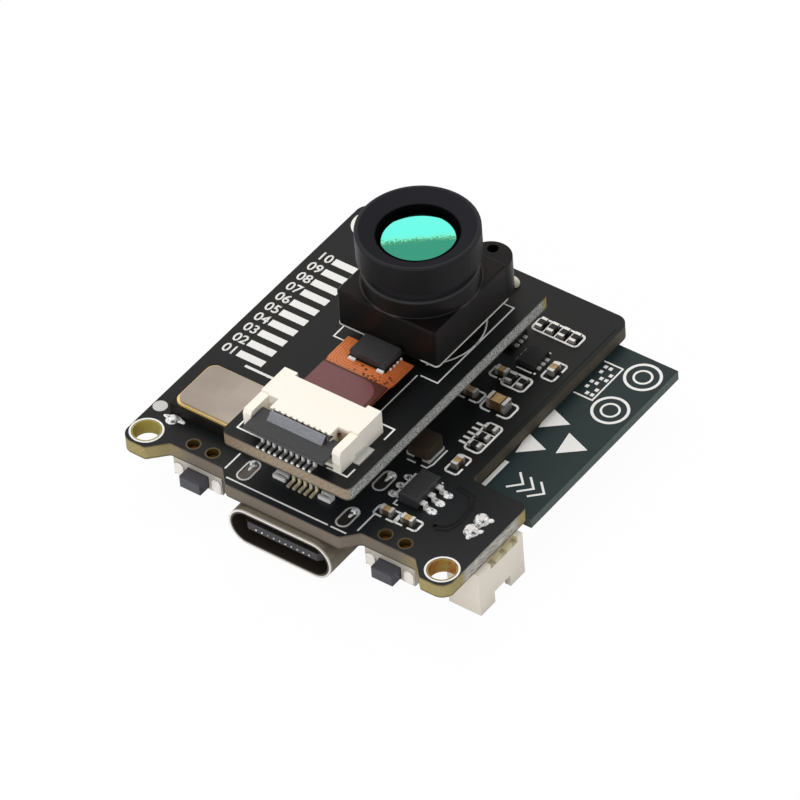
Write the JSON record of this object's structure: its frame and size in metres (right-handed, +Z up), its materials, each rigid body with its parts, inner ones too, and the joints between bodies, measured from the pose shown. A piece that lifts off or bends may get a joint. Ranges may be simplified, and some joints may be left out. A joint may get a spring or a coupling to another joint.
{
  "type": "camera module board",
  "caption": "Small controller board with a flex-cabled camera and round lens on a raised board, flip-latch flex connector, USB-C socket, side push buttons and a wire socket.",
  "frame": {"origin": "midway between the two ear holes, on the main board's top face", "axes": "+Z up along the lens axis, +Y from the USB end to the far end, +X towards the notched side"},
  "size_m": [0.0289, 0.0297, 0.0182],
  "materials": {
    "mask_black": "satin",
    "mask_slate": "satin",
    "shield_metal": "satin",
    "pair_plastic": "matte",
    "tin": "bright",
    "gold": "bright",
    "cream_plastic": "satin",
    "latch_plastic": "satin",
    "copper_flex": "satin",
    "mauve_film": "matte",
    "pad_foam": "matte",
    "holder_plastic": "satin",
    "barrel_metal": "satin",
    "lens_glass": "polished",
    "inner_glass": "polished",
    "filter_glass": "polished",
    "silicon": "polished",
    "chip_resin": "matte",
    "underfill_resin": "gloss",
    "ceramic_dark": "matte",
    "lid_metal": "satin",
    "usb_steel": "satin",
    "usb_plastic": "satin",
    "solder": "bright",
    "switch_plastic": "matte",
    "switch_steel": "satin",
    "plunger_plastic": "satin",
    "ivory_plastic": "satin",
    "cap_ceramic": "satin",
    "resistor_black": "satin",
    "ferrite": "matte"
  },
  "bodies": {
    "module": {"main_board": "mask_black", "radio_board": "mask_slate", "radio_shield": "shield_metal", "pair_socket": "pair_plastic", "pair_plug": "pair_plastic", "pair_socket_contacts": "gold", "pair_plug_contacts": "gold", "pair_brackets": "tin", "camera_board": "mask_black", "flex_conn_housing": "cream_plastic", "flex_conn_contacts": "tin", "flex_conn_tabs": "solder", "holder_pad": "pad_foam", "camera_flex": "copper_flex", "flex_stiffener": "mauve_film", "flex_underfill": "underfill_resin", "flex_chip": "chip_resin", "image_sensor": "silicon", "lens_holder": "holder_plastic", "ir_filter": "filter_glass", "lens_barrel": "barrel_metal", "front_lens": "lens_glass", "inner_lens": "inner_glass", "osc_base": "ceramic_dark", "osc_ring": "gold", "osc_lid": "lid_metal", "usb_shell": "usb_steel", "usb_insulator": "usb_plastic", "usb_contacts": "gold", "usb_solder": "solder", "left_switch_body": "switch_plastic", "left_switch_cover": "switch_steel", "right_switch_body": "switch_plastic", "right_switch_cover": "switch_steel", "wire_housing": "ivory_plastic", "wire_pins": "gold", "capacitor_bodies": "cap_ceramic", "capacitor_ends": "tin", "resistor_bodies": "resistor_black", "resistor_ends": "tin", "regulator_body": "chip_resin", "regulator_leads": "tin", "inductor_core": "ferrite", "inductor_ends": "tin", "flat_chips": "chip_resin", "flat_chip_pads": "solder", "test_pad": "solder", "solder_beads": "solder"},
    "latch": {"flex_conn_latch": "latch_plastic"},
    "left_button": {"left_switch_plunger": "plunger_plastic"},
    "right_button": {"right_switch_plunger": "plunger_plastic"}
  },
  "joints": [
    {"name": "latch_hinge", "type": "hinge", "parent": "module", "child": "latch", "pos_m": [-0.0001, 0.00115, 0.00525], "axis": [-1, 0, 0], "range_deg": [0, 90]},
    {"name": "left_button_slide", "type": "slide", "parent": "module", "child": "left_button", "axis": [0, 1, 0], "range_m": [0, 0.00025], "stiffness_N_per_m": 2000, "springref_m": -0.0001},
    {"name": "right_button_slide", "type": "slide", "parent": "module", "child": "right_button", "axis": [0, 1, 0], "range_m": [0, 0.00025], "stiffness_N_per_m": 2000, "springref_m": -0.0001}
  ]
}
